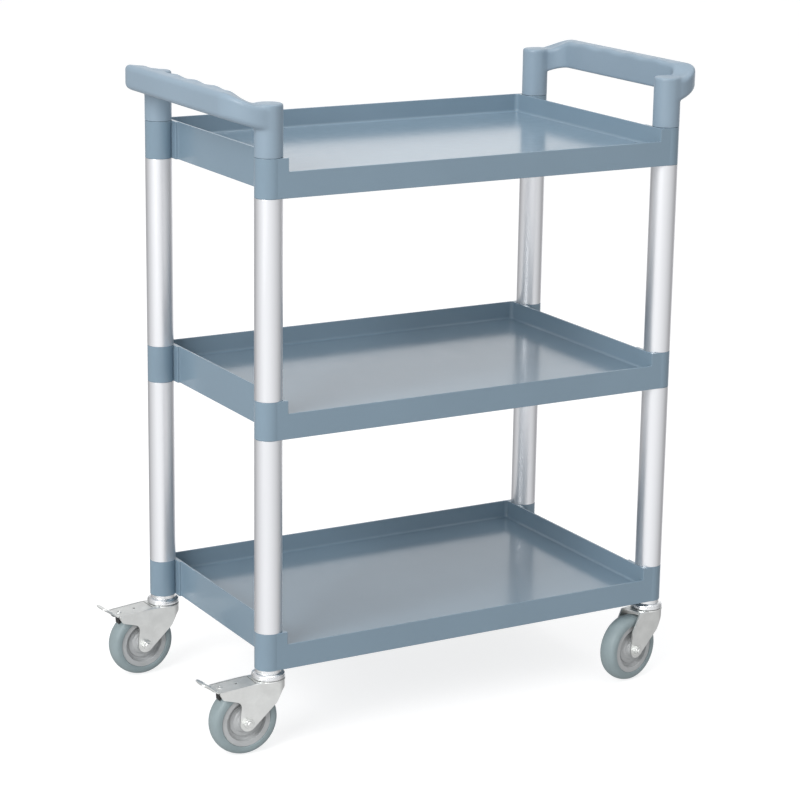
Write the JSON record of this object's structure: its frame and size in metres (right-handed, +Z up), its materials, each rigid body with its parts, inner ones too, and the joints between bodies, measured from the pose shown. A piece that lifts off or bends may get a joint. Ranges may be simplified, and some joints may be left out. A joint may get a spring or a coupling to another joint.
{
  "type": "trolley cart",
  "caption": "Three-tier rolling service trolley with moulded trays on tube posts, raised end handles, low front lips and swivel casters with foot brakes.",
  "frame": {"origin": "centre of the top tray's deck surface", "axes": "+X along the length towards the unbraked end, -Y the front with the low lips, +Z up"},
  "size_m": [0.7912, 0.4049, 0.9045],
  "materials": {
    "tray_plastic": "blue-grey moulded polypropylene, semi-gloss deck",
    "handle_plastic": "blue-grey moulded polypropylene, fine matt texture",
    "tube_aluminium": "satin anodised aluminium tube",
    "zinc_steel": "bright zinc-plated pressed steel",
    "bright_steel": "polished hardened steel",
    "tyre_rubber": "grey thermoplastic rubber, satin",
    "hub_plastic": "pale grey moulded nylon",
    "socket_nylon": "dark nylon",
    "shoe_rubber": "black rubber"
  },
  "bodies": {
    "frame": {"top_tray": "tray_plastic", "middle_tray": "tray_plastic", "bottom_tray": "tray_plastic", "left_handle": "handle_plastic", "right_handle": "handle_plastic", "stem_sockets": "socket_nylon", "upper_tube_front_left": "tube_aluminium", "upper_tube_back_left": "tube_aluminium", "upper_tube_front_right": "tube_aluminium", "upper_tube_back_right": "tube_aluminium", "lower_tube_front_left": "tube_aluminium", "lower_tube_back_left": "tube_aluminium", "lower_tube_front_right": "tube_aluminium", "lower_tube_back_right": "tube_aluminium", "front_left_stem": "zinc_steel", "front_left_race_cap": "bright_steel", "back_left_stem": "zinc_steel", "back_left_race_cap": "bright_steel", "front_right_stem": "zinc_steel", "front_right_race_cap": "bright_steel", "back_right_stem": "zinc_steel", "back_right_race_cap": "bright_steel"},
    "front_left_caster": {"front_left_fork": "zinc_steel", "front_left_balls": "bright_steel", "front_left_axle_bolt": "zinc_steel", "front_left_axle_nut": "zinc_steel", "front_left_axle_sleeve": "bright_steel", "front_left_brake_pin": "zinc_steel", "front_left_brake_spring": "bright_steel"},
    "front_left_wheel": {"front_left_hub": "hub_plastic", "front_left_tyre": "tyre_rubber"},
    "front_left_brake": {"front_left_brake_pedal": "zinc_steel", "front_left_brake_shoe": "shoe_rubber", "front_left_shoe_rivet": "zinc_steel"},
    "back_left_caster": {"back_left_fork": "zinc_steel", "back_left_balls": "bright_steel", "back_left_axle_bolt": "zinc_steel", "back_left_axle_nut": "zinc_steel", "back_left_axle_sleeve": "bright_steel", "back_left_brake_pin": "zinc_steel", "back_left_brake_spring": "bright_steel"},
    "back_left_wheel": {"back_left_hub": "hub_plastic", "back_left_tyre": "tyre_rubber"},
    "back_left_brake": {"back_left_brake_pedal": "zinc_steel", "back_left_brake_shoe": "shoe_rubber", "back_left_shoe_rivet": "zinc_steel"},
    "front_right_caster": {"front_right_fork": "zinc_steel", "front_right_balls": "bright_steel", "front_right_axle_bolt": "zinc_steel", "front_right_axle_nut": "zinc_steel", "front_right_axle_sleeve": "bright_steel"},
    "front_right_wheel": {"front_right_hub": "hub_plastic", "front_right_tyre": "tyre_rubber"},
    "back_right_caster": {"back_right_fork": "zinc_steel", "back_right_balls": "bright_steel", "back_right_axle_bolt": "zinc_steel", "back_right_axle_nut": "zinc_steel", "back_right_axle_sleeve": "bright_steel"},
    "back_right_wheel": {"back_right_hub": "hub_plastic", "back_right_tyre": "tyre_rubber"}
  },
  "joints": [
    {"name": "front_left_swivel", "type": "hinge", "parent": "frame", "child": "front_left_caster", "pos_m": [-0.3135, -0.173, -0.6915], "axis": [0, 0, 1], "continuous": true},
    {"name": "front_left_spin", "type": "hinge", "parent": "front_left_caster", "child": "front_left_wheel", "pos_m": [-0.35199, -0.17233, -0.7445], "axis": [-0.0175, -0.9998, 0], "continuous": true},
    {"name": "front_left_brake_press", "type": "hinge", "parent": "front_left_caster", "child": "front_left_brake", "pos_m": [-0.37649, -0.1719, -0.6985], "axis": [-0.0175, -0.9998, 0], "range_deg": [0, 4]},
    {"name": "back_left_swivel", "type": "hinge", "parent": "frame", "child": "back_left_caster", "pos_m": [-0.3135, 0.173, -0.6915], "axis": [0, 0, 1], "continuous": true},
    {"name": "back_left_spin", "type": "hinge", "parent": "back_left_caster", "child": "back_left_wheel", "pos_m": [-0.35195, 0.17099, -0.7445], "axis": [0.0523, -0.9986, 0], "continuous": true},
    {"name": "back_left_brake_press", "type": "hinge", "parent": "back_left_caster", "child": "back_left_brake", "pos_m": [-0.37641, 0.1697, -0.6985], "axis": [0.0523, -0.9986, 0], "range_deg": [0, 4]},
    {"name": "front_right_swivel", "type": "hinge", "parent": "frame", "child": "front_right_caster", "pos_m": [0.3135, -0.173, -0.6915], "axis": [0, 0, 1], "continuous": true},
    {"name": "front_right_spin", "type": "hinge", "parent": "front_right_caster", "child": "front_right_wheel", "pos_m": [0.27599, -0.18166, -0.7445], "axis": [0.225, -0.9744, 0], "continuous": true},
    {"name": "back_right_swivel", "type": "hinge", "parent": "frame", "child": "back_right_caster", "pos_m": [0.3135, 0.173, -0.6915], "axis": [0, 0, 1], "continuous": true},
    {"name": "back_right_spin", "type": "hinge", "parent": "back_right_caster", "child": "back_right_wheel", "pos_m": [0.27537, 0.16764, -0.7445], "axis": [0.1392, -0.9903, 0], "continuous": true}
  ]
}
